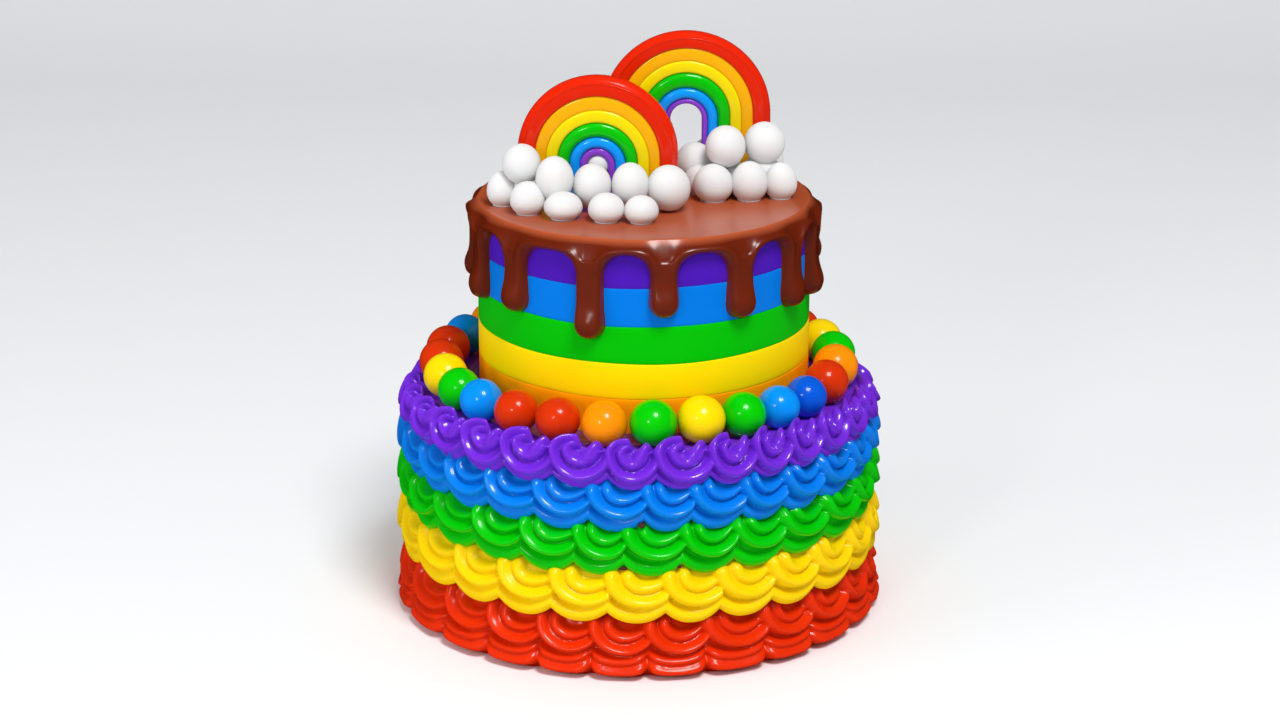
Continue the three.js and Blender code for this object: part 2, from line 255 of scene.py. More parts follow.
def make_band(name, code):
    """A closed drum. Its side rows go from one seam to the next at the tier's radius, and dip in
    by SEAM_DIP at each seam, so that a fine shaded line parts it from its neighbours."""
    low, high = span(name)
    radius = (high[0] - low[0]) / 2
    middle = [(low[0] + high[0]) / 2, (low[1] + high[1]) / 2, 0]
    turn = np.linspace(0, 2 * np.pi, BAND_COLUMNS, endpoint=False)
    bottom = seam(turn, low[2]) if name != BANDS[0][0] else low[2] + 0 * turn
    top = seam(turn, high[2]) if name != BANDS[-1][0] else high[2] + 0 * turn
    rows = [
        around(radius - dip, turn, bottom + share * (top - bottom))
        for share, dip in zip(SIDE_SHARES, SIDE_DIPS)
    ]
    points = np.concatenate(rows + [[[0, 0, low[2]], [0, 0, high[2]]]]) + middle
    count = len(rows) * BAND_COLUMNS
    faces = [
        ring_faces(len(rows), BAND_COLUMNS),
        fan_faces(0, BAND_COLUMNS, count, flip=True),
        fan_faces(count - BAND_COLUMNS, BAND_COLUMNS, count + 1),
    ]
    finish = make_finish(
        f"{name}_icing", code, 0.5, shine=0.04, glow=0.1, grain=0.012, grain_size=0.35
    )
    return make_piece(f"{name}_band", points, faces, finish, [name])


for name, code in BANDS:
    make_band(name, code)
tier_low, tier_high = span("layer_blue")
TIER_R = (tier_high[0] - tier_low[0]) / 2
TIER_MIDDLE = np.array([(tier_low[0] + tier_high[0]) / 2, (tier_low[1] + tier_high[1]) / 2, 0])
print("upper tier radius", round(float(TIER_R), 1), "mm, middle at", TIER_MIDDLE.round(2))

# %% [markdown]
# ## The piped rows
#
# A nozzle leaves a fat rope of icing. The baker moves it down, round and up again, so that each
# loop is a U of two ropes, one inside the other, round a small eye. Its left arm lies over the end
# of the loop before it. Real ropes could be swept along curves, but they would cut through each
# other in hundreds of places. So the piping is a skin: a grid round the cake whose points stand out
# by as much as the highest loop does there. Where two loops meet, the higher one wins and leaves a
# crease, just as wet icing does.


# %% A rope's round back
def smooth_step(x):
    """0 below 0, 1 above 1, and 3x² - 2x³ between."""
    x = np.clip(x, 0, 1)
    return x * x * (3 - 2 * x)


def back(distance, crest, inside, outside=None):
    """A rope's round back, from 0 to 1: (1 - q^1.7)^0.6, where q is how far the distance is from
    the crest, in widths. The width may differ inside and outside the crest, so that the crest
    leans towards the loop's eye."""
    gap = distance - crest
    q = np.where(gap < 0, -gap / inside, gap / (outside or inside))
    return (1 - np.clip(q, 0, 1) ** 1.7) ** 0.6


print("a back at 0, a half and 1 width:", back(np.array([0, 0.5, 1]), 0, 1).round(2))

# %% [markdown]
# On the crown the nozzle was pulled up and away after each loop, and left a tip. A cone would be
# too pointed, so a tip is a short rope that grows narrower.

# %% Tips
HORN_FOOT = (6.7, 5.8)
HORN_TIP = (8.3, 10.3)
HORN_WIDE, HORN_NARROW, HORN_HIGH = 1.7, 1.45, 2.6


def tapering_rope(s, w, s0, w0, s1, w1, wide, narrow):
    """A short rope from (s0, w0) to (s1, w1). A point's distance is from the nearest point of that
    line, and the half width goes from wide to narrow."""
    along, up = s1 - s0, w1 - w0
    share = np.clip(((s - s0) * along + (w - w0) * up) / (along**2 + up**2), 0, 1)
    gap = np.hypot(s - s0 - share * along, w - w0 - share * up)
    return back(gap, 0, wide + share * (narrow - wide))


print("a tip stands out", HORN_HIGH, "mm")

# %% [markdown]
# Now one loop, drawn flat: s goes along the row and w up. Each rope lies along an ellipse round the
# loop's eye, which is simpler than a curve and a distance from it.

# %% How a loop stands out
LOOP = 10.2
LAP = 0.8
SAG_POWER = 1.6
INNER_SAG = 1.4
OUTER_SAG = 0.7
EYE_EDGE = 0.12
END_FALL, END_GAP, EDGE_FALL = 5, 0.4, 7


def loop_relief(s, w, row, own):
    """How far a loop stands out at s mm from its left edge and w mm up. The distance from its eye
    is an ellipse's: the square root of (dx/a)² + (dz/b)², with straight arms above the eye. The
    left arm reaches LAP further than the loop's edge. To the right of the eye the ropes run on as
    a tail, which rises by tail_lift times dx². Each of row["ropes"] is the distance of a rope's
    crest, its widths inside and outside it, and its height. The ropes sink towards the right by a
    power of s / LOOP, the outer one least. A crown's loop is open at its upper right corner, and a
    horn stands up from its right side."""
    dx = s - row["eye_s"] - own["s"]
    lift = row["tail_lift"] * own["tail"] * np.clip(dx, 0, None) ** 2
    dz = w - row["eye_w"] - own["w"] - lift
    reach = np.where(dx < 0, row["eye_s"] + own["s"] + LAP, row["tail_reach"])
    down = np.clip(-dz, 0, None) / (row["eye_w"] + own["w"] - row["outer_w"])
    up = np.clip(dz, 0, None) / row["close"]
    distance = np.sqrt((dx / reach) ** 2 + down**2 + up**2)
    open_corner = 1 - row["open"] * smooth_step(dz / 1.2) * smooth_step((dx + 1.2) / 1.4)
    sag = np.clip(s / LOOP, 0, None) ** SAG_POWER
    eye = smooth_step((row["ropes"][-1][0] - distance) / EYE_EDGE)
    height = row["eye"] * eye - INNER_SAG * sag
    for k, (crest, inside, outside, high) in enumerate(row["ropes"]):
        rope = back(distance, crest, inside, outside) * high * own["fat"] * open_corner
        height = np.maximum(height, rope - (INNER_SAG if k else OUTER_SAG) * sag)
    if row["crown"]:
        tip = (HORN_TIP[0] + own["s"], HORN_TIP[1] + own["w"])
        horn = tapering_rope(s, w, *HORN_FOOT, *tip, HORN_WIDE, HORN_NARROW)
        height = np.maximum(height, HORN_HIGH * horn - sag)
    end = END_FALL * np.clip(s - LOOP - END_GAP, 0, None)
    beyond = EDGE_FALL * np.clip(distance - 1, 0, None) * open_corner
    return height - row["groove"] - end - beyond


print("a loop is", LOOP, "mm wide and laps", LAP, "mm over the one before")

# %% [markdown]
# Under the loops runs a lip, where the icing was pressed against the tier and spread. It could be a
# rope of its own, but it has to merge with the loops above it, so it is one more part of the skin.
# The red row stands on the ground and has a second, fatter lip under the first.

# %% How the lip stands out
LIP_HIGH = 1.1
LIP_FALL = 1.6
FAT_LIP, FAT_LIP_HIGH = (1.5, 1.45), 1.9
THIN_LIP, THIN_LIP_HIGH = (3.7, 0.95), 1.6
TWO_LIPS_SINK, TWO_LIPS_TOP = 1.5, 4.4


def lip_relief(above, row):
    """How far the lip under the loops stands out: one soft rope, or two in a row with a second lip.
    It falls away behind the loops, by LIP_FALL mm for each mm up."""
    if row["second_lip"]:
        thin = back(above, *THIN_LIP) * THIN_LIP_HIGH - 0.1
        ropes = np.maximum(back(above, *FAT_LIP) * FAT_LIP_HIGH, thin)
        fall = LIP_FALL * np.clip(above - TWO_LIPS_TOP, 0, None)
        return ropes - TWO_LIPS_SINK - row["lip_sink"] - fall
    crest, half = row["lip"]
    fall = LIP_FALL * np.clip(above - crest - half, 0, None)
    return back(above, crest, half) * LIP_HIGH - row["lip_sink"] - fall


print("lips stand out", LIP_HIGH, "mm, the red row's", FAT_LIP_HIGH, "and", THIN_LIP_HIGH, "mm")

# %% [markdown]
# Every row has its own habit: the red one stands on a double lip, the yellow one is soft and
# shallow, the green and blue ones are fat, and the purple one ends in a crown of curled tips and
# rolls over the cake's edge. Each could be shaped by hand, but they are piped in the same way. So a
# row is a set of numbers, and one function turns them into a skin. The loops at the front have the
# widths that the baker's hand gave them, and those at the back are even. A row's joins are the
# angles where its loops meet, and its out is how much further out than the others it lies.

# %% The rows' habits
PLAIN = {
    "eye_s": 6.6, "eye_w": 9.3, "outer_w": 2.6, "tail_reach": 60.0, "tail_lift": 0.1,
    "close": 60.0, "open": 0.0, "ropes": [(0.79, 0.18, 0.21, 2.9), (0.4, 0.16, 0.22, 2.7)],
    "eye": 0.6, "groove": 2.8, "lip": (1.1, 1.4), "lip_sink": 3.0, "second_lip": False,
    "rise": 2.0, "crown": False, "floor": -3.0, "out": 0.0,
    "glow": 0.1, "coat": 0.35, "grain": 0.02,
}
ROWS = [
    dict(
        PLAIN, node="row_red", code="da2c03", bottom=0.0, behind=17,
        joins=[-70.5, -53.4, -38.2, -24.2, -11.2, 2, 15.9, 31.1, 45, 60.1],
        eye_w=10.9, outer_w=4.8, ropes=[(0.81, 0.17, 0.2, 2.6), (0.43, 0.16, 0.22, 2.2)],
        eye=0.4, groove=2.4, lip_sink=0.6, second_lip=True, rise=0.0, out=0.4,
    ),
    dict(
        PLAIN, node="row_yellow", code="f4cc02", bottom=11.7, behind=17,
        joins=[-65.5, -48.6, -34.5, -20.7, -7.3, 6.2, 19, 32.6, 45.9, 60.6],
        ropes=[(0.79, 0.19, 0.22, 2.2), (0.39, 0.17, 0.23, 2.0)],
        eye=0.4, groove=2.1, lip_sink=2.3, out=0.3, glow=0.3, coat=0.12,
    ),
    dict(
        PLAIN, node="row_green", code="02be03", bottom=21.1, behind=19,
        joins=[-57.3, -42.4, -28.6, -15.3, -3.5, 10.2, 22.8, 35.8, 50, 64.8],
        out=0.25,
    ),
    dict(
        PLAIN, node="row_blue", code="027ade", bottom=29.8, behind=20,
        joins=[-51.9, -38.4, -25.3, -11.8, 1.2, 12.4, 24.9, 36.2, 48.2, 62],
        eye_w=8.9, outer_w=2.1, coat=0.5,
    ),
    dict(
        PLAIN, node="row_purple", code="7028cf", bottom=38.0, behind=21,
        joins=[-45.8, -33.4, -20.6, -7.2, 4.2, 17, 28.1, 38.3, 48.6, 60.2],
        eye_s=5.5, eye_w=7.6, outer_w=1.1, tail_reach=6.6, tail_lift=0.0, close=5.0, open=1.0,
        ropes=[(0.82, 0.17, 0.19, 2.8), (0.41, 0.18, 0.24, 2.6)],
        eye=0.4, lip=(0.65, 0.85), lip_sink=3.2, crown=True, coat=0.8, grain=0.04,
    ),
]
for row in ROWS:
    print(row["node"], "has", len(row["joins"]) + row["behind"] - 1, "loops")

# %% [markdown]
# No two loops are alike. Each could be placed by hand, but a seeded row of random numbers gives
# every loop its own place, fatness and droop, and the same ones on every run. Where loops overlap,
# the skin follows the highest, and a gentle mean rounds off creases that are finer than the grid.

# %% Places and differences of the loops
rng = np.random.default_rng(29)


def wobbles(loops):
    """Small differences between one loop and the next, as a hand makes them."""
    return {
        "s": rng.uniform(-0.35, 0.35, loops),
        "w": rng.uniform(-0.3, 0.3, loops),
        "fat": rng.uniform(0.9, 1.05, loops),
        "tail": rng.uniform(0.7, 1.4, loops),
        "drop": rng.uniform(0, 0.35, loops),
    }


def loop_joins(row):
    """The turns in radians where the loops meet, once round and back to the first one."""
    front = np.array(row["joins"], dtype=float)
    behind = np.linspace(front[-1], front[0] + 360, row["behind"] + 1)[1:]
    return np.radians(np.concatenate([front, behind]))


print("the red row's first loops begin at", np.degrees(loop_joins(ROWS[0]))[:3].round(1))

# %% Loops side by side
SCALLOP_POWER = 2.2
GROUND_SCALLOP = 1.9
GROUND_BOW = 0.7


def soften(field):
    """Each value becomes half of itself and a quarter of each neighbour, first round the cake and
    then up it."""
    field = (np.roll(field, 1, axis=1) + 2 * field + np.roll(field, -1, axis=1)) / 4
    field[1:-1] = (field[:-2] + 2 * field[1:-1] + field[2:]) / 4
    return field


def loop_skin(row, top, rows, joins, place):
    """The height of each grid point and how far it stands out. For each point the loops to the
    left, here and to the right are tried: the edge is the lowest of their scallops, and the skin
    the highest of their backs."""
    loops = len(joins) - 1
    own_all = wobbles(loops)
    widths = np.diff(joins)
    near = []
    for step in (-1, 0, 1):
        k = (np.floor(place).astype(int) + step) % loops
        own = {name: values[k] for name, values in own_all.items()}
        inside = place - np.floor(place)
        here = np.floor(place).astype(int)
        offset = inside * widths[here]
        if step == -1:
            offset = offset + widths[k]
        if step == 1:
            offset = offset - widths[here]
        s = offset / widths[k] * LOOP
        bow = np.abs(2 * s / LOOP - 1) ** SCALLOP_POWER
        scallop = row["rise"] * bow - own["drop"] * np.clip(1 - bow, 0, 1)
        near.append((s, own, scallop, GROUND_SCALLOP * bow))
    edge = np.min([scallop for _, _, scallop, _ in near], axis=0)
    level = np.min([lift for _, _, _, lift in near], axis=0)
    if not row["rise"]:
        edge = 0 * edge
    height = edge + np.linspace(0, 1, rows)[:, None] * (top - edge)
    relief = lip_relief(height - (edge if row["rise"] else GROUND_BOW * level), row)
    if not row["rise"]:
        relief = relief - GROUND_SCALLOP * (level / GROUND_SCALLOP) ** 3
    for s, own, _, _ in near:
        relief = np.maximum(relief, loop_relief(s, height, row, own))
    return height, soften(np.maximum(relief, row["floor"]))


print("a scallop's edge rises", PLAIN["rise"], "mm towards its sides")

# %% [markdown]
# A row doesn't lie on an upright wall. The icing leans in as it rises, and the crown turns in over
# the cake's edge. The skin could be made flat and bent with a modifier, but a formula for the line
# under it gives both its place and the way it stands out. At the cake's sides the crown has sunk a
# little under its own weight.

# %% The line that a row lies on
LOWER_R = 48.4
CROWN_R = 3.6
CROWN_FROM = 6.4
CROWN_TURN = 2.6
CROWN_LEAN = 0.17
WALL_LEAN = 0.028
TUCK = 2.2
TUCK_FROM = 3.1
SETTLE_DOWN = 2.0
SETTLE_IN = 0.9


def base_line(w, top, crown, out):
    """The line that a row lies on, as radius, height and the two parts of its outward direction.
    It leans in as it rises, by WALL_LEAN mm for each square mm above 2, and tucks in under the next
    row. A crown leans in evenly and then turns in over the edge on an arc of CROWN_R, through
    CROWN_TURN radians. The row's own out is how much further out than LOWER_R it lies."""
    if crown:
        angle = np.clip(w - CROWN_FROM, 0, CROWN_R * CROWN_TURN) / CROWN_R
        past = np.clip(w - CROWN_FROM - CROWN_R * CROWN_TURN, 0, None)
        lean = CROWN_LEAN * np.clip(w - 1, 0, CROWN_FROM - 1)
        radius = LOWER_R - lean - CROWN_R * (1 - np.cos(angle)) - past * np.sin(angle)
        height = np.minimum(w, CROWN_FROM) + CROWN_R * np.sin(angle) + past * np.cos(angle)
        return radius, height, np.cos(angle), np.sin(angle)
    lean = WALL_LEAN * np.clip(w - 2, 0, None) ** 2
    tuck = TUCK * smooth_step((w - top + TUCK_FROM) / TUCK_FROM)
    return LOWER_R + out - lean - tuck, w, np.ones_like(w), np.zeros_like(w)


def settling(turn, height):
    """How far the crown has sunk, from 0 to 1: nothing in front, all from 95 to 130 degrees round
    the sides, less again behind, and more the higher the icing stands."""
    aside = np.degrees(np.abs((turn + np.pi) % (2 * np.pi) - np.pi))
    share = smooth_step((aside - 45) / 50) * (1 - 0.8 * smooth_step((aside - 130) / 30))
    return share * smooth_step((height - 2) / 8)


print("the crown turns in through", round(math.degrees(CROWN_TURN)), "degrees")

# %% [markdown]
# Now each row is laid round the cake. It could stay an open sheet, but a real row is a solid ring.
# So its grid starts at the tier's wall, comes out under the lip, goes up over the loops and back in
# behind the next row, where it joins its own start.

# %% Lay the rows round the cake
LOOP_COLUMNS = 54
FACE_ROWS = 52
UNDER_R = 41.2
CROWN_TOP = 16.1
BEHIND_NEXT = 2.6
FOOT_ROUND, FOOT_HIGH = 1.4, 1.8
LIP_ROUND = 0.4
LIP_TURNS = (1.0, 0.6, 0.25)
LIP_DEPTH, LIP_HOLLOW, UNDER_HOLLOW = 2.0, 0.9, 3.0
CROWN_BACK = 5.4


def make_row(row, next_bottom):
    """A closed skin: from the inside out under the lip, round its edge, up over the loops, and in
    again behind the row above. Every line of the grid goes round the cake."""
    joins = loop_joins(row)
    loops = len(joins) - 1
    columns = loops * LOOP_COLUMNS
    place = np.arange(columns) / LOOP_COLUMNS
    turn = np.interp(place, np.arange(loops + 1), joins)
    top = CROWN_TOP if row["crown"] else next_bottom - row["bottom"] + BEHIND_NEXT
    height, relief = loop_skin(row, top, FACE_ROWS, joins, place)
    radius, level, out, up = base_line(height, top, row["crown"], row["out"])
    rounded = 0 if row["rise"] else FOOT_ROUND * smooth_step(1 - height / FOOT_HIGH)
    radius = radius + relief * out - rounded
    level = level + relief * up + row["bottom"]
    if row["crown"]:
        sunk = settling(turn, height)
        level, radius = level - SETTLE_DOWN * sunk, radius - SETTLE_IN * sunk
    lip = radius[0]
    drop = LIP_ROUND if row["rise"] else 0.0
    sweep = np.array(LIP_TURNS) * np.pi / 2
    under = [around(lip - (1 - np.cos(a)), turn, level[0] - drop * np.sin(a)) for a in sweep]
    inner = [
        around(UNDER_R, turn, row["bottom"] + (UNDER_HOLLOW if row["rise"] else 0)),
        around(lip - LIP_DEPTH, turn, level[0] + (LIP_HOLLOW if row["rise"] else 0)),
    ]
    face = [around(r, turn, z) for r, z in zip(radius, level)]
    last = row["bottom"] + CROWN_BACK if row["crown"] else row["bottom"] + top
    points = np.concatenate(inner + under + face + [around(UNDER_R, turn, last)])
    count = len(inner) + len(under) + len(face) + 1
    name = row["node"]
    finish = make_finish(
        f"{name}_icing", row["code"], 0.3, shine=0.15, glow=row["glow"], coat=row["coat"],
        grain=row["grain"], grain_size=0.4,
    )
    faces = [ring_faces(count, columns, closed=True)]
    return make_piece(f"{name}_ropes", points, faces, finish, [name])


for row, above in zip(ROWS, ROWS[1:] + [None]):
    make_row(row, above["bottom"] if above else None)

# %% [markdown]
# ## The icing between the tiers
#
# Inside the purple row the lower tier is covered with flat purple icing, on which the sweets lie.
# It could be a cylinder with a hole cut in it. But its hole lies round the upper tier's middle and
# its edge round the lower tier's, so four rings of points in one closed grid are simpler.

# %% Flat icing
COVER_TOP, COVER_UNDER = 44.1, 43.3
COVER_R, COVER_HOLE_R = 43.4, 32.6
COVER_COLUMNS = 144
turn = np.arange(COVER_COLUMNS) / COVER_COLUMNS * 2 * np.pi
cover = [
    around(COVER_HOLE_R, turn, COVER_UNDER) + TIER_MIDDLE,
    around(COVER_R, turn, COVER_UNDER),
    around(COVER_R, turn, COVER_TOP),
    around(COVER_HOLE_R, turn, COVER_TOP) + TIER_MIDDLE,
]
make_piece(
    "purple_cover", np.concatenate(cover), [ring_faces(4, COVER_COLUMNS, closed=True)],
    bpy.data.materials["row_purple_icing"],
)

# %% [markdown]
# ## The chocolate
#
# Poured chocolate covers the top, rolls over the edge and runs down in drips that end in fat
# drops. A sculpted mesh could do this, but the shape has a simple rule. Unroll the tier's side as
# a flat sheet. A drip is everything nearer than a half width to a line, the pour is everything
# above a level, and the two are joined softly, so that they leave round arches. Each drip is the
# turn in degrees where it runs down and the height where it ends.

# %% Drips
DRIPS = [
    (-98, 64.1), (-70, 64.5), (-47, 65.2), (-18, 62.5), (6.5, 67), (33.2, 65.5), (58, 64.6),
    (77, 64.1), (101, 66.7), (126, 64.2), (150, 67.4), (175, 63.7), (199, 66.2), (221, 64.4),
    (242, 66.8),
]
DROP_R = 2.95
NECK_HALF = 2.65
SIDE_R = 33.5
POUR_LEVEL = 79.0
SOFTEN = 5.0
print(len(DRIPS), "drips, the longest ends", min(end for _, end in DRIPS), "mm above the ground")


def soft_min(a, b, k):
    """The smaller of two distances, blended where they differ by less than k: h²k/4 is taken off,
    where h is how near they are, from 0 to 1."""
    h = np.clip(1 - np.abs(a - b) / k, 0, 1)
    return np.minimum(a, b) - h * h * k / 4


def chocolate_edge(turn, z):
    """How far a point of the unrolled side is from the chocolate's edge, below zero inside, and how
    near it is to a drop, from 0 to 1."""
    pour = POUR_LEVEL + 0.12 * np.sin(3 * turn + 0.4) + 0.1 * np.sin(5 * turn + 2) - z
    drips = np.full_like(z, 99.0)
    drop = np.zeros_like(z)
    for k, (angle, end) in enumerate(DRIPS):
        away = (turn - math.radians(angle) + np.pi) % (2 * np.pi) - np.pi
        x = SIDE_R * away
        low = end + DROP_R
        swell = (DROP_R - NECK_HALF) * np.exp(-((np.clip(z - low, 0, None) / 3) ** 2))
        half = NECK_HALF + 0.12 * np.sin(3.1 * k) + swell
        drips = np.minimum(drips, np.hypot(x, np.clip(low - z, 0, None)) - half)
        drop = np.maximum(drop, np.exp(-((x / 3) ** 2) - ((z - low) / 2.7) ** 2))
    return soft_min(drips, pour, SOFTEN), drop


# %% [markdown]
# Round the tier's rim the chocolate bulges as a bead, which follows the arches, and above it a
# slope leads to the flat top. The bead could lie at one height all round. But on the real cake it
# hangs lower over each drip, so its top is looked up on the unrolled side, column by column.

# %% The bead at the rim
BEAD_HIGH = 1.7
BEAD_BLUR = 6
BEAD_LOWEST, BEAD_HIGHEST = 78.2, 81


def bead_top(turn):
    """The height where the bead ends and the slope to the top begins: the highest place that is
    less than BEAD_HIGH inside the chocolate's edge. A rolling mean smooths it."""
    levels = np.linspace(77.5, 81.3, 77)[:, None]
    distance, _ = chocolate_edge(turn + 0 * levels, levels + 0 * turn)
    start = np.where(distance > -BEAD_HIGH, levels, 0).max(axis=0)
    start = np.clip(start, BEAD_LOWEST, BEAD_HIGHEST)
    kernel = np.hanning(2 * BEAD_BLUR + 1)
    wrapped = np.concatenate([start[-BEAD_BLUR:], start, start[:BEAD_BLUR]])
    return np.convolve(wrapped, kernel / kernel.sum(), "valid")


print("the bead is", BEAD_HIGH, "mm high")

# %% [markdown]
# Deep inside its edge the chocolate is thick, thickest in the drops. Towards the edge it is as
# round as a drop of water, with a faint roll just inside it. A thick sheet with a bevel would have
# the same thickness everywhere. Here each point's distance from the edge gives its thickness, and
# outside the edge the sheet dips under the icing and is hidden.

# %% How thick the chocolate is
CHOCOLATE_COLUMNS = 960
SIDE_ROWS = 84
THICK, DROP_BULGE = 1.9, 1.3
EDGE_ROUND = 1.25
HIDDEN_FALL, HIDDEN_DEEP = 1.4, 0.45
ROLL_HIGH, ROLL_IN, ROLL_WIDE = 0.3, 1.1, 0.55
ROLL_FROM, ROLL_FADE = 74.5, 2.5
CREST_DIP, CREST_SOFT = 0.35, 0.7
chocolate_low, chocolate_high = span("chocolate")
TOP = float(chocolate_high[2])
turn = np.arange(CHOCOLATE_COLUMNS) / CHOCOLATE_COLUMNS * 2 * np.pi
low = chocolate_low[2] - 0.4
crest = bead_top(turn)
z = low + np.linspace(0, 1, SIDE_ROWS)[:, None] * (crest - low)
distance, drop = chocolate_edge(turn + 0 * z, z)
inside = np.clip(-distance, 0, None)
rounded = np.sqrt(1 - (1 - np.clip(inside / EDGE_ROUND, 0, 1)) ** 2)
over = smooth_step((z - crest + CREST_SOFT) / CREST_SOFT)
roll = ROLL_HIGH * np.exp(-(((inside - ROLL_IN) / ROLL_WIDE) ** 2))
roll = roll * smooth_step((z - ROLL_FROM) / ROLL_FADE)
thick = (THICK + DROP_BULGE * drop) * rounded + roll - CREST_DIP * over**2
side_r = TIER_R + thick - np.clip(distance * HIDDEN_FALL, 0, HIDDEN_DEEP)
print("the chocolate is up to", round(float(thick.max()), 2), "mm thick")

# %% [markdown]
# The skin goes on over the slope to the top and closes underneath, inside the tier. The top is
# painted lighter than the drips: painted light and a painted reflection of the bright room, which
# the top would catch from above. Two finishes would meet in a hard line, so the painted light
# follows the height.

# %% Chocolate
CREASE_R = 32.2
SLOPE_SHARES = (0.05, 0.11, 0.2, 0.32, 0.45, 0.6, 0.75, 0.88, 0.95, 1)
TOP_DIPS = ((31.9, 0.01), (31.3, 0.1), (30, 0.16), (22, 0.12), (12, 0.08), (4, 0.08))
LAYER_INSIDE = 0.6


def painted_light_by_height(material, low_code, high_code, low_mm, high_mm):
    """Painted light: the colour goes from one code to another between two heights."""
    tree = material.node_tree
    place = tree.nodes.new("ShaderNodeTexCoord")
    split = tree.nodes.new("ShaderNodeSeparateXYZ")
    share = tree.nodes.new("ShaderNodeMapRange")
    share.inputs["From Min"].default_value = low_mm * MM
    share.inputs["From Max"].default_value = high_mm * MM
    ramp = tree.nodes.new("ShaderNodeValToRGB")
    ramp.color_ramp.elements[0].color = (*linear(low_code), 1)
    ramp.color_ramp.elements[1].color = (*linear(high_code), 1)
    tree.links.new(place.outputs["Object"], split.inputs["Vector"])
    tree.links.new(split.outputs["Z"], share.inputs["Value"])
    tree.links.new(share.outputs["Result"], ramp.inputs["Fac"])
    tree.links.new(ramp.outputs["Color"], tree.nodes["Principled BSDF"].inputs["Base Color"])


rim = side_r[-1]
side = [around(r, turn, level) for r, level in zip(side_r, z)]
steep = 0.8 + 0.45 * smooth_step((crest - BEAD_LOWEST) / 2.4)
slope = []
for share in SLOPE_SHARES:
    level = crest + (TOP - crest) * share**steep
    slope.append(around(rim - share * (rim - CREASE_R), turn, level))
flat = [around(r, turn, TOP - dip) for r, dip in TOP_DIPS]
BELOW = float(span("layer_purple")[1][2])
under = [around(TIER_R - LAYER_INSIDE, turn, z) for z in (BELOW, low)]
rings = under + side + slope + flat
count = len(rings) * CHOCOLATE_COLUMNS
points = np.concatenate(rings + [[[0, 0, BELOW], [0, 0, TOP - TOP_DIPS[-1][1]]]]) + TIER_MIDDLE
faces = [
    ring_faces(len(rings), CHOCOLATE_COLUMNS),
    fan_faces(0, CHOCOLATE_COLUMNS, count, flip=True),
    fan_faces(count - CHOCOLATE_COLUMNS, CHOCOLATE_COLUMNS, count + 1),
]
chocolate_finish = make_finish(
    "poured_chocolate", "651c04", 0.36, shine=0.2, glow=0.05, coat=0.5, coat_rough=0.22,
    grain=0.05, grain_size=2.2,
)
# Painted light: above 80.8 mm the chocolate turns lighter, standing in for the overhead light and
# the room's reflection on its top.
painted_light_by_height(chocolate_finish, "651c04", "b85630", 80.8, 82.1)
make_piece("poured_chocolate", points, faces, chocolate_finish, ["chocolate"])

# %% [markdown]
# ## The sweets
#
# Small sugar balls lie side by side round the foot of the upper tier. They have a hard glossy
# shell, so each one shows a bright spot. Blender's own sphere would do, but the clouds and the
# crumbs need taller, flatter and lumpier balls, so a globe is made here once, from rings and poles.

# %% A globe
def globe(centre, radius, tall=1.0, columns=32, rows=20):
    """A closed ball: rings at heights that follow the cosine of a falling angle, and a point at
    each pole."""
    turn = np.arange(columns) / columns * 2 * np.pi
    fall = (np.arange(1, rows) / rows * np.pi)[::-1]
    rings = [around(radius * np.sin(a), turn, -radius * tall * np.cos(np.pi - a)) for a in fall]
    poles = [[0, 0, -radius * tall], [0, 0, radius * tall]]
    points = np.concatenate(rings + [poles]) + np.asarray(centre)
    count = (rows - 1) * columns
    faces = [
        ring_faces(rows - 1, columns),
        fan_faces(0, columns, count, flip=True),
        fan_faces(count - columns, columns, count + 1),
    ]
    return points, faces


print("a globe has", len(globe((0, 0, 0), 1)[0]), "points")

# %% Sweets
SWEET_CODES = {
    "red": "ce3004", "orange": "f98d02", "yellow": "f5d102", "green": "03c002",
    "light_blue": "028aea", "blue": "0356cf",
}
SWEETS = (
    "green yellow green light_blue blue red orange green yellow red light_blue orange green blue "
    "yellow red green orange light_blue red red yellow green light_blue red red orange"
).split()
SWELL, SWOLLEN = 1.03, {27: 1.08}
print(len(SWEETS), "sweets,", SWEETS.count("green"), "of them green")
shells = {
    colour: make_finish(
        f"{colour}_shell", code, 0.3, shine=0.1, glow=0.2, coat=0.4, coat_rough=0.1,
        grain=0.01, grain_size=0.5,
    )
    for colour, code in SWEET_CODES.items()
}
for number, colour in enumerate(SWEETS, 1):
    node = f"sweet_{number:02d}"
    low, high = span(node)
    points, faces = globe((low + high) / 2, SWOLLEN.get(number, SWELL) * (high[2] - low[2]) / 2)
    name = f"sugar_ball_{number:02d}"
    make_piece(name, points, faces, shells[colour], [node])

# %% [markdown]
# ## The rainbows
#
# Each rainbow is made of six candy ropes bent round one another. A rope is a rounded section
# carried up one leg, round half a circle and down the other leg. A curve with a bevel would do
# nearly the same, but here the rope may be wider at its crown than at its feet, as the bent candy
# is. The red rope has a flat face that meets its rounded rim in a fine ridge, so its section is
# drawn point by point. Each rainbow has a place, a turn in degrees, and its edges from the
# outermost to the innermost, each as half a width and the height of its crown.

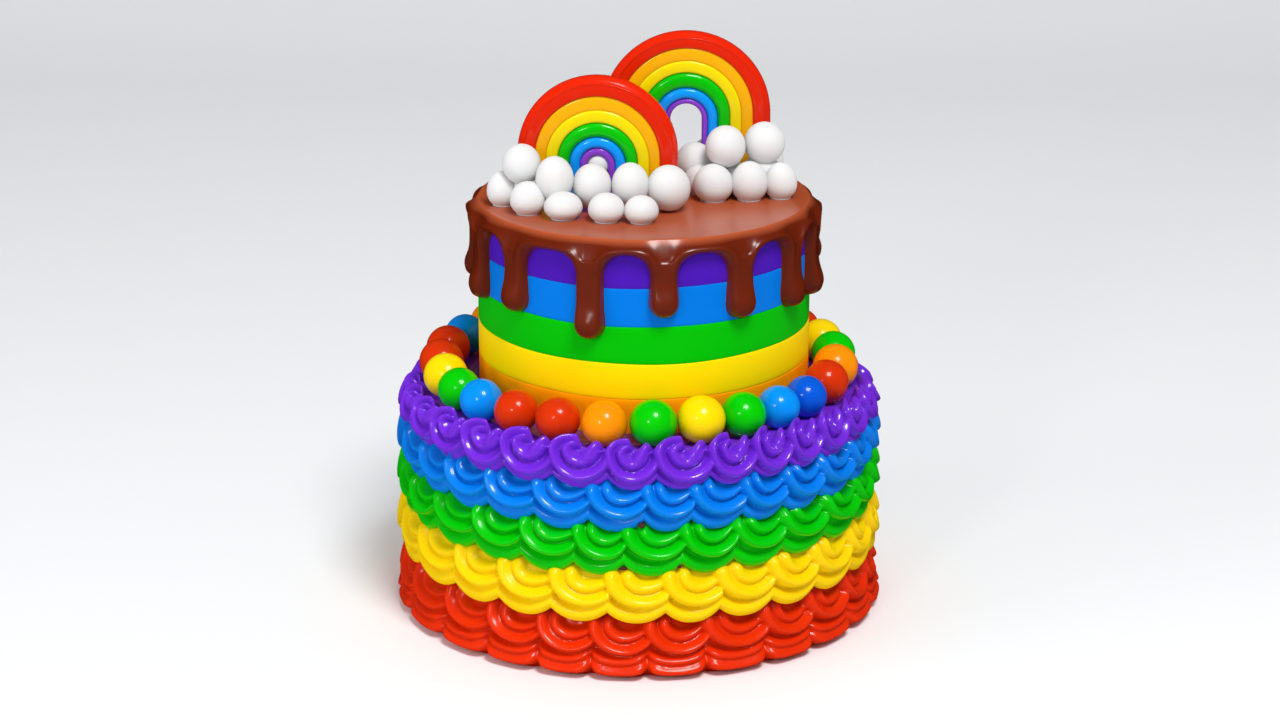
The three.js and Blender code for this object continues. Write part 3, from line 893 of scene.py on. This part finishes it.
# %% Rainbows
ROPE_CODES = {
    "red": "dc2202", "orange": "f1ac05", "yellow": "edd504",
    "green": "03bd03", "blue": "0698ff", "purple": "8a40cc",
}
RAINBOWS = {
    "front_rainbow": dict(
        place=(-8.9, -1.5), turn=-3,
        edges=[
            (15.5, 106.1), (12.1, 102.3), (10, 99.5), (7.8, 97.1), (5.5, 94.2), (3.4, 92),
            (2, 90.5),
        ],
    ),
    "back_rainbow": dict(
        place=(8.3, 10.9), turn=0,
        edges=[
            (16.5, 112.1), (13.1, 109), (10.8, 106.4), (8.6, 104.1), (6.2, 101), (4.2, 98.8),
            (3.1, 97.8),
        ],
    ),
}
ROPE_DEPTH = {"red": 4.0, "orange": 3.5, "yellow": 3.7, "green": 4.0, "blue": 3.7, "purple": 3.0}
ROPE_SQUARE = {"orange": 6, "yellow": 6, "green": 3, "blue": 3, "purple": 4}
SECTION = 28
PRESSED, PRESSED_IN = 1.06, 0.03
RIM_V = np.array([0, 0.02, 0.06, 0.12, 0.5, 0.61, 0.63, 0.65, 0.67, 0.69, 0.78, 0.88, 0.95, 0.985])
RIM_DEPTH = np.array([0.3, 0.75, 0.95, 1, 1, 1, 1.03, 1.07, 1.03, 0.94, 0.82, 0.62, 0.38, 0.18])


def make_rope(colour, inner, outer, place, turn):
    """A closed rope. Its section is a rounded box: the sign of the cosine or sine times its size
    to the power 2/n. The section's place between the inner and the outer edge line is v, from 0 to
    1, and a little more on both sides where the ropes are pressed together."""
    angle = np.arange(SECTION) / SECTION * 2 * np.pi
    if colour == "red":
        v = np.concatenate([RIM_V, RIM_V[::-1]])
        depth = ROPE_DEPTH[colour] / 2 * np.concatenate([-RIM_DEPTH, RIM_DEPTH[::-1]])
    else:
        power = 2 / ROPE_SQUARE[colour]
        v = 0.5 + 0.5 * np.sign(np.cos(angle)) * np.abs(np.cos(angle)) ** power
        depth = ROPE_DEPTH[colour] / 2 * np.sign(np.sin(angle)) * np.abs(np.sin(angle)) ** power
    v = PRESSED * v - PRESSED_IN
    half = inner[0] + v * (outer[0] - inner[0])
    middle = inner[1] - inner[0] + v * (outer[1] - outer[0] - inner[1] + inner[0])
    bend = np.linspace(0, np.pi, 65)[:, None]
    x = half * np.cos(bend)
    z = middle + half * np.sin(bend)
    leg = np.linspace(0, 1, 7)[:-1, None]
    rise = TOP + leg * (middle - TOP)
    x = np.concatenate([half + 0 * leg, x, -half + 0 * leg])
    z = np.concatenate([rise, z, rise[::-1]])
    y = depth + 0 * x
    a = math.radians(turn)
    east = place[0] + x * math.cos(a) - y * math.sin(a)
    north = place[1] + x * math.sin(a) + y * math.cos(a)
    rope = np.stack([east, north, z], axis=-1)
    rows = len(x)
    ends = np.stack([rope[0].mean(axis=0), rope[-1].mean(axis=0)])
    count = rows * SECTION
    faces = [
        ring_faces(rows, SECTION),
        fan_faces(0, SECTION, count, flip=True),
        fan_faces(count - SECTION, SECTION, count + 1),
    ]
    return np.concatenate([rope.reshape(-1, 3), ends]) + TIER_MIDDLE, faces


print(len(RAINBOWS), "rainbows of", len(ROPE_CODES), "ropes")

# %% Candy
candy = {
    colour: make_finish(
        f"{colour}_candy", code, 0.35, shine=0.08, glow=0.1, coat=0.7, coat_rough=0.09
    )
    for colour, code in ROPE_CODES.items()
}
for name, rainbow in RAINBOWS.items():
    edges = rainbow["edges"]
    for colour, outer, inner in zip(ROPE_CODES, edges, edges[1:]):
        points, faces = make_rope(colour, inner, outer, rainbow["place"], rainbow["turn"])
        node = f"{name}_{colour}"
        make_piece(f"{node}_rope", points, faces, candy[colour], [node])

# %% [markdown]
# ## The clouds
#
# White balls of sugar paste lie in heaps against the rainbows' feet. They are soft, so the lowest
# ones have sunk a little and stand on a foot. One merged blob would lose the creases between them,
# so each heap is one piece of many closed balls. A ball is its place, how high it is lifted, its
# radius and how tall it is for its width.

# %% A ball with a foot
STRETCH = 1.13
LOWER_SHARE = 0.8
CUT_SHARE, CUT_BELOW = 0.6, 0.64
PAD_HIGH = 0.14
PAD_OUT, PAD_LEVELS = (0.63, 0.65, 0.65), (0.11, 0.08, 0)
SUNK = 0.1


def footed_ball(place, radius, tall, columns=40):
    """A ball that stands on its place. Its lower half is a little flatter than its upper half. It
    is cut where it has narrowed to CUT_SHARE of its radius, and has spread there into a foot, whose
    rings are PAD_OUT of the radius wide and stand at PAD_LEVELS."""
    fall = np.linspace(0, math.pi - math.asin(CUT_SHARE), 24)[1:]
    high = STRETCH * radius * tall
    share = np.where(fall < math.pi / 2, np.cos(fall), LOWER_SHARE * np.cos(fall))
    level = high * share + CUT_BELOW * high + PAD_HIGH
    out = np.concatenate([radius * np.sin(fall), radius * np.array(PAD_OUT)])[::-1]
    level = np.concatenate([level, PAD_LEVELS])[::-1]
    turn = np.arange(columns) / columns * 2 * np.pi
    rings = [around(r, turn, z) for r, z in zip(out, level)]
    points = np.concatenate(rings + [[[0, 0, 0], [0, 0, (1 + CUT_BELOW) * high + PAD_HIGH]]])
    count = len(out) * columns
    faces = [
        ring_faces(len(out), columns),
        fan_faces(0, columns, count, flip=True),
        fan_faces(count - columns, columns, count + 1),
    ]
    return points + np.asarray(place), faces


print("a ball of radius 1 mm spreads to a foot of", PAD_OUT[-1], "mm")

# %% Clouds
CLOUDS = {
    "front_cloud": [
        (-27.1, -8, 0, 3.1, 1.13), (-22.1, -14.2, 0, 3.45, 0.95), (-15.3, -17.7, 0, 3.7, 0.72),
        (-7.1, -19.8, 0, 3.5, 0.82), (-0.5, -20.5, 0, 3.3, 0.82), (-23.4, -8.2, 4.5, 3.7, 1.05),
        (-17, -12.2, 1.9, 3.65, 1.23), (-9.9, -11.5, 0.6, 3.75, 1.15),
        (-2.6, -11.8, 0.6, 3.6, 1.24), (-22.3, -7.6, 0.01, 3.1, 1),
    ],
    "end_ball": [(4.7, -11.4, 0.01, 4.2, 1.06)],
    "middle_cloud": [
        (-21.6, 6.1, 0, 3.5, 1), (-15.4, 5.7, 0, 3.5, 1), (-9.2, 5.4, 0.9, 3.7, 1),
        (-3.2, 5.2, 0, 3.4, 1), (2.8, 4.4, 0, 3.4, 1), (-8.8, -1.3, 4.3, 2.25, 1),
    ],
    "back_cloud": [
        (13.4, -4.4, 0, 3.9, 0.96), (20.4, -3.9, 0, 3.6, 1.1), (26.5, -2.7, 0, 3.2, 1.15),
        (15.8, -0.6, 5.8, 3.9, 1.05), (23.4, 1.4, 6, 4, 1.03), (9.9, 4.6, 1.5, 3.75, 1.05),
        (16.4, 1.3, 0, 3.7, 1), (22.9, 2.1, 0.2, 3.8, 1), (10.9, 0.8, 0, 3.2, 1),
    ],
    "rear_cloud_left": [(-8.6, 18, 0, 3.6, 1), (-2.4, 18.6, 0, 3.6, 1), (-5.5, 18.4, 5, 3.6, 1)],
    "rear_cloud_right": [
        (12.9, 18.4, 0, 3.5, 1), (19, 18.1, 0, 3.6, 1), (24.7, 16.8, 0, 3.2, 1),
        (22, 18, 5, 3.6, 1),
    ],
}


def join_shapes(shapes):
    """Several point and face arrays as one, with the point numbers moved on."""
    points, faces, first = [], [], 0
    for shape_points, shape_faces in shapes:
        points.append(shape_points)
        faces += [part + first for part in shape_faces]
        first += len(shape_points)
    return np.concatenate(points), faces


sugar_paste = make_finish(
    "sugar_paste", "dadada", 0.7, shine=0.2, glow=0.3, grain=0.02, grain_size=0.8
)
for name, balls in CLOUDS.items():
    shapes = []
    for x, y, lift, r, tall in balls:
        if lift:
            shapes.append(globe((x, y, TOP + lift + r * tall - SUNK), r, tall, 40, 26))
        else:
            shapes.append(footed_ball((x, y + 1, TOP - SUNK), r, tall))
    points, faces = join_shapes(shapes)
    make_piece(f"{name}_balls", points + TIER_MIDDLE, faces, sugar_paste, [name])

# %% [markdown]
# Under the lowest corners of the blue and the green lip a few dark crumbs of the sponge show. Dark
# spots in the icing's colour could stand for them, but a crumb catches the light and covers what is
# behind it. So they are lumpy balls of about a millimetre, half sunk in the icing.

# %% Crumbs
CRUMBS = [
    (0.7, 46.2, 30.9, 0.65, 0.5), (-3.7, 45.6, 22.2, 1.05, 0.45), (9.4, 45.8, 22.5, 0.5, 0.4),
]


def crumb(turn, radius, height, wide, tall):
    """A ball whose points are moved in and out by up to 15% along crossing waves, then stretched
    to its half width and half height and carried to its place."""
    points, faces = globe((0, 0, 0), 1.0, 1.0, 20, 14)
    waves = 0.15 * np.sin(5 * points[:, :1] + 9 * turn)
    lumps = 1 + waves * np.sin(6 * points[:, 1:2] + 7 * points[:, 2:] + turn)
    points = points * lumps * [wide, 0.9, tall]
    side, out = points[:, 0], radius - points[:, 1]
    x = out * math.sin(turn) + side * math.cos(turn)
    y = -out * math.cos(turn) + side * math.sin(turn)
    return np.stack([x, y, points[:, 2] + height], axis=-1), faces


points, faces = join_shapes([crumb(math.radians(a), *rest) for a, *rest in CRUMBS])
make_piece("sponge_crumbs", points, faces, bpy.data.materials["dark_sponge"])

# %% [markdown]
# ## Floor, light and camera
#
# The cake stands on a sheet of pale paper that curves up into a wall, as in a small studio. A flat
# floor would show its far edge as a line. The curve hides it.

# %% Floor and wall
HALF_WIDTH = 1.5
FLOOR_FRONT, WALL_Y, WALL_TOP = -1.6, 0.75, 1.6
CURVE_R = 0.3
sweep = np.linspace(0, np.pi / 2, 13)
curve_y = np.concatenate([[FLOOR_FRONT], WALL_Y - CURVE_R + CURVE_R * np.sin(sweep), [WALL_Y]])
curve_z = np.concatenate([[0], CURVE_R - CURVE_R * np.cos(sweep), [WALL_TOP]])
left = np.stack([np.full_like(curve_y, -HALF_WIDTH), curve_y, curve_z], axis=-1)
right = left * [-1, 1, 1]
backdrop_mesh = bpy.data.meshes.new("backdrop")
n = len(curve_y)
strips = [(i, n + i, n + i + 1, i + 1) for i in range(n - 1)]
backdrop_mesh.from_pydata(np.concatenate([left, right]).tolist(), [], strips)
backdrop_mesh.polygons.foreach_set("use_smooth", np.ones(n - 1, dtype=bool))
backdrop = bpy.data.objects.new("backdrop", backdrop_mesh)
scene.collection.objects.link(backdrop)
backdrop.data.materials.append(make_finish("pale_paper", "f2f3f5", 0.7))
print("paper of", len(strips), "strips")

# %% [markdown]
# A large soft lamp from the upper front gives each sweet one bright spot, and a smaller one a
# second, weaker spot. A lamp from the left fills the shadows there. An evenly lit room would be
# simpler, but its reflection would lie over all the glossy skins like a veil. So the room, the
# paper and the side lamp light the cake without being mirrored in it.

# %% Lamps and room
LAMPS_AIM = 0.06


def add_lamp(name, direction, size, power, distance=0.9, mirrored=True):
    """A round lamp in that direction and at that distance in metres from the cake's middle, turned
    to face it. When it isn't mirrored, it lights the cake but leaves no bright spot on it."""
    lamp = bpy.data.lights.new(name, "AREA")
    lamp.shape = "DISK"
    lamp.size = size
    lamp.energy = power
    holder = bpy.data.objects.new(name, lamp)
    towards = Vector(direction).normalized()
    holder.location = Vector((0, 0, LAMPS_AIM)) + towards * distance
    holder.visible_glossy = mirrored
    holder.rotation_euler = towards.to_track_quat("Z", "Y").to_euler()
    scene.collection.objects.link(holder)
    print(name, "at", [round(c, 2) for c in holder.location])


add_lamp("soft_lamp", (0.206, -0.539, 0.814), 0.32, 6.5)
add_lamp("small_lamp", (-0.372, -0.845, 0.386), 0.16, 0.95)
add_lamp("side_lamp", (-0.88, -0.4, 0.25), 0.6, 2.2, mirrored=False)
world = bpy.data.worlds.new("pale_room")
scene.world = world
world.use_nodes = True
world.node_tree.nodes["Background"].inputs["Color"].default_value = (1, 1, 1, 1)
world.node_tree.nodes["Background"].inputs["Strength"].default_value = 0.38
world.cycles_visibility.glossy = False
backdrop.visible_glossy = False
scene.view_settings.view_transform = "Standard"

# %% [markdown]
# The camera stands in front of the cake, looks down on it a little, and has a long lens. A wide
# lens close by would bend the tiers' round edges more and make the cake look larger than it is.

# %% Camera
LOOKS_DOWN = 18.02
camera_data = bpy.data.cameras.new("camera")
camera_data.lens = 90
camera_data.sensor_width = 36
camera = bpy.data.objects.new("camera", camera_data)
camera.location = (0.00025, -0.6018, 0.24394)
camera.rotation_euler = (math.radians(90 - LOOKS_DOWN), 0, 0)
scene.collection.objects.link(camera)
scene.camera = camera
print("camera", [round(c, 3) for c in camera.location])
